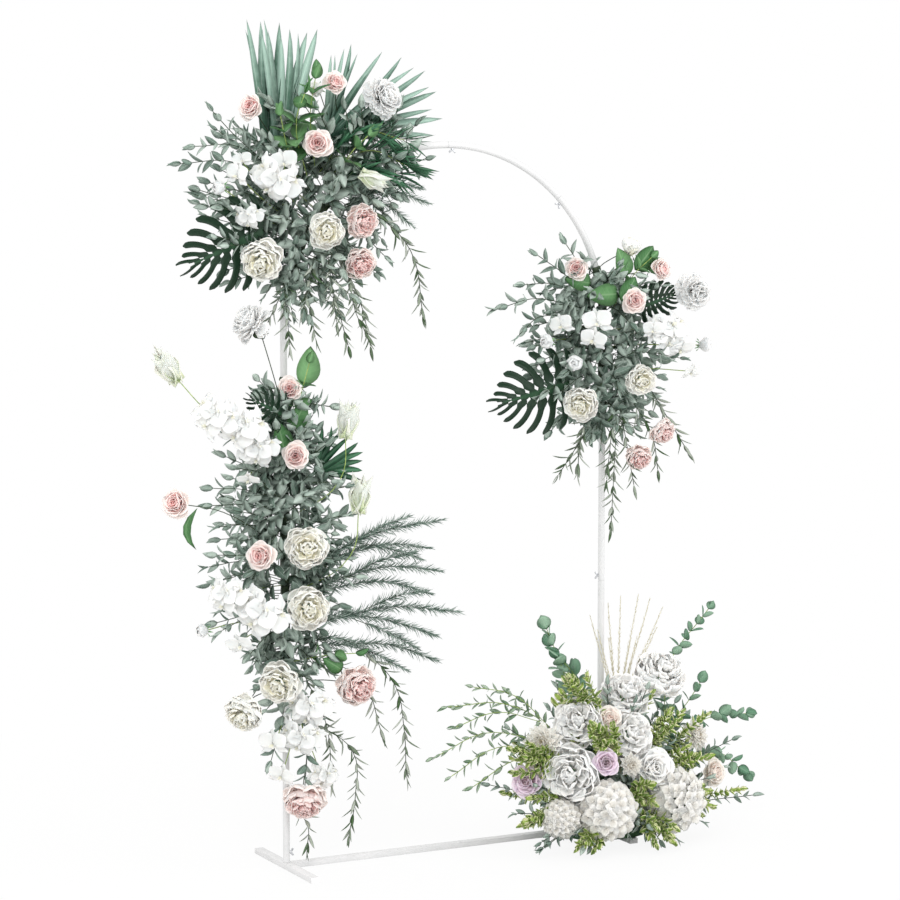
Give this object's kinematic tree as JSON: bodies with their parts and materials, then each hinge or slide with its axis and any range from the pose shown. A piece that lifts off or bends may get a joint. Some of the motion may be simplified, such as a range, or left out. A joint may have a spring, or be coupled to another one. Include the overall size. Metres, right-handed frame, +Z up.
{
  "type": "wedding arch",
  "caption": "Free-standing white metal tube arch with a half-round head, crosswise feet and a ground rail, dressed with silk flowers and trailing greenery.",
  "frame": {"origin": "on the floor, under the middle of the ground rail", "axes": "+X along the ground rail towards the right leg, -Y the dressed front of the arch, +Z up"},
  "size_m": [1.8696, 0.5447, 2.3277],
  "materials": {
    "white_powder_coat": "satin white powder coat on steel tube",
    "white_plastic": "matt moulded plastic",
    "zinc_plated_steel": "zinc plated, satin",
    "sage_leaf": "printed silk leaf, dusty grey-green, matt",
    "dark_green_leaf": "moulded leaf, dark green, soft sheen",
    "pale_green_leaf": "moulded leaf, yellow-green, matt",
    "pink_silk": "blush silk petals, matt, paler at the rims",
    "cream_silk": "cream silk petals, matt",
    "white_silk": "white silk petals, matt",
    "lilac_silk": "lilac and cream silk petals, matt",
    "dried_grass": "dry plume, pale straw"
  },
  "bodies": {
    "root": {"foot_left": "white_powder_coat", "foot_right": "white_powder_coat", "ground_rail": "white_powder_coat", "leg_left_lower": "white_powder_coat", "leg_left_upper": "white_powder_coat", "leg_right_lower": "white_powder_coat", "leg_right_upper": "white_powder_coat", "head_left_lower": "white_powder_coat", "head_left_upper": "white_powder_coat", "head_right_upper": "white_powder_coat", "head_right_lower": "white_powder_coat", "foot_cap_left_front": "white_plastic", "foot_cap_left_back": "white_plastic", "foot_cap_right_front": "white_plastic", "foot_cap_right_back": "white_plastic", "screw_foot_left": "zinc_plated_steel", "screw_leg_left": "zinc_plated_steel", "screw_spring_left": "zinc_plated_steel", "screw_head_left": "zinc_plated_steel", "screw_head_top": "zinc_plated_steel", "screw_head_right": "zinc_plated_steel", "screw_spring_right": "zinc_plated_steel", "screw_leg_right": "zinc_plated_steel", "screw_foot_right": "zinc_plated_steel", "top_foliage": "sage_leaf", "top_roses": "pink_silk", "top_peonies": "cream_silk", "top_orchids": "white_silk", "top_palm_leaves": "dark_green_leaf", "top_monstera_leaf": "dark_green_leaf", "top_willow_vines": "pale_green_leaf", "left_foliage": "sage_leaf", "left_roses": "pink_silk", "left_peonies": "cream_silk", "left_orchids": "white_silk", "left_tulips": "white_silk", "left_ferns": "dark_green_leaf", "left_willow_vines": "pale_green_leaf", "right_foliage": "sage_leaf", "right_roses": "pink_silk", "right_peonies": "cream_silk", "right_lilies": "white_silk", "right_monstera_leaf": "dark_green_leaf", "right_willow_vines": "pale_green_leaf", "base_foliage": "sage_leaf", "base_roses": "white_silk", "base_dahlias": "lilac_silk", "base_hydrangeas": "cream_silk", "base_eucalyptus": "sage_leaf", "base_grass_plumes": "dried_grass", "base_willow": "pale_green_leaf"}
  },
  "joints": []
}
